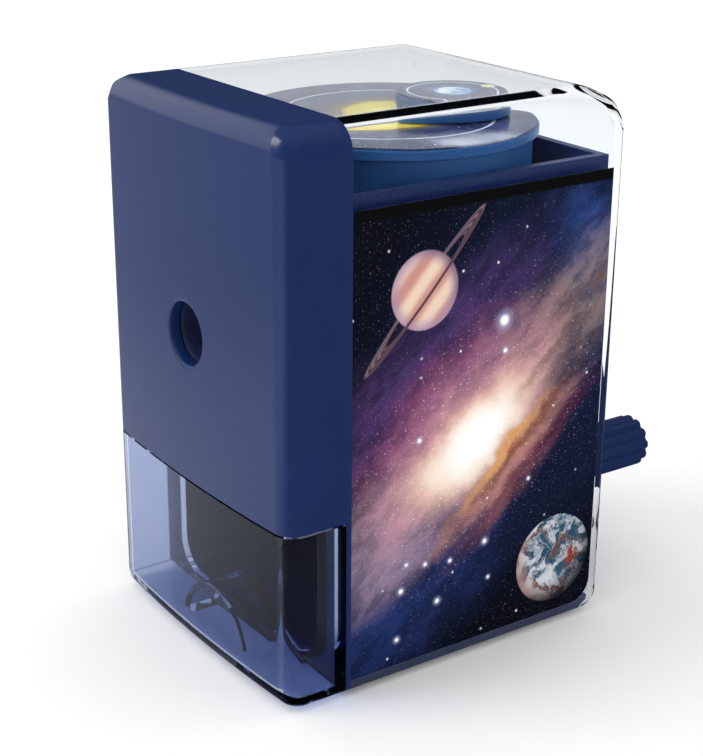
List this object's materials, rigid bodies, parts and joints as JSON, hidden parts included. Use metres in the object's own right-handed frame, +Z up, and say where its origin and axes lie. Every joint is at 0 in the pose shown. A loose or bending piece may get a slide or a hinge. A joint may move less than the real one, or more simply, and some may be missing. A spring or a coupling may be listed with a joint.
{
  "type": "hand crank pencil sharpener",
  "caption": "Desk pencil sharpener: rounded navy casing with printed sides, clear hood over a turning orrery disc, shavings drawer and rear crank with a fluted knob.",
  "frame": {"origin": "middle of the base pad's underside, where the sharpener stands on the desk", "axes": "+Z up, +Y from the pencil hole to the crank, +X to the right as the pencil hole is faced along +Y"},
  "size_m": [0.0662, 0.1065, 0.1108],
  "materials": {
    "navy_abs": "moulded ABS, satin gloss",
    "inner_navy_abs": "moulded ABS, fine texture",
    "clear_styrene": "clear moulded polystyrene",
    "smoke_styrene": "blue-tinted transparent polystyrene",
    "galaxy_print": "printed gloss film",
    "sky_print": "printed gloss disc",
    "turned_steel": "turned bright steel",
    "cutter_steel": "hardened and ground tool steel",
    "acetal": "natural moulded acetal",
    "brass": "cut brass",
    "pad_rubber": "anti-slip rubber",
    "zinc_screw": "zinc-plated steel"
  },
  "bodies": {
    "housing": {"front_cover": "navy_abs", "pencil_guide": "inner_navy_abs", "inner_housing": "navy_abs", "base_plate": "inner_navy_abs", "base_pad": "pad_rubber", "hood": "clear_styrene", "side_label_right": "galaxy_print", "side_label_left": "galaxy_print", "cover_screw_lower_left": "zinc_screw", "cover_screw_lower_right": "zinc_screw", "cover_screw_upper_left": "zinc_screw", "cover_screw_upper_right": "zinc_screw", "hood_screw_left": "zinc_screw", "hood_screw_right": "zinc_screw", "base_screw_left": "zinc_screw", "base_screw_right": "zinc_screw", "ring_gear": "acetal", "ring_screw_left": "zinc_screw", "ring_screw_right": "zinc_screw", "shaft_bush": "acetal", "deck": "inner_navy_abs", "sun_gear": "acetal"},
    "drawer": {"drawer": "smoke_styrene"},
    "crank": {"cutter_carrier": "acetal", "cutter_spindle": "turned_steel", "crank_shaft": "turned_steel", "drive_gear": "acetal", "crank_arm": "inner_navy_abs", "crank_screw": "zinc_screw", "knob_pin": "turned_steel"},
    "cutter_roll": {"cutter": "cutter_steel", "cutter_pinion": "brass"},
    "knob": {"knob": "navy_abs"},
    "turntable": {"crown_gear": "acetal", "turntable_spindle": "turned_steel", "turntable": "navy_abs", "turntable_print": "sky_print"},
    "planet": {"planet_gear": "acetal", "planet_spindle": "turned_steel", "planet_disc": "navy_abs", "planet_print": "sky_print"}
  },
  "joints": [
    {"name": "drawer_slide", "type": "slide", "parent": "housing", "child": "drawer", "axis": [0, -1, 0], "range_m": [0, 0.045]},
    {"name": "crank_spin", "type": "hinge", "parent": "housing", "child": "crank", "pos_m": [0, 0, 0.0668], "axis": [0, 1, 0], "continuous": true},
    {"name": "cutter_spin", "type": "hinge", "parent": "crank", "child": "cutter_roll", "pos_m": [0, 0.03282, 0.0668], "axis": [0, 0.9816, -0.1908], "continuous": true},
    {"name": "knob_spin", "type": "hinge", "parent": "crank", "child": "knob", "pos_m": [0.0118, 0.055, 0.02483], "axis": [0, 1, 0], "continuous": true},
    {"name": "turntable_spin", "type": "hinge", "parent": "housing", "child": "turntable", "pos_m": [0, 0.0063, 0.0908], "axis": [0, 0, 1], "continuous": true},
    {"name": "planet_spin", "type": "hinge", "parent": "turntable", "child": "planet", "pos_m": [0.00351, 0.01923, 0.1], "axis": [0, 0, 1], "continuous": true}
  ],
  "couplings": [
    {"joint": "cutter_spin", "follows": "crank_spin", "ratio": -3},
    {"joint": "turntable_spin", "follows": "crank_spin", "ratio": -1.125},
    {"joint": "planet_spin", "follows": "crank_spin", "ratio": -1.5}
  ]
}
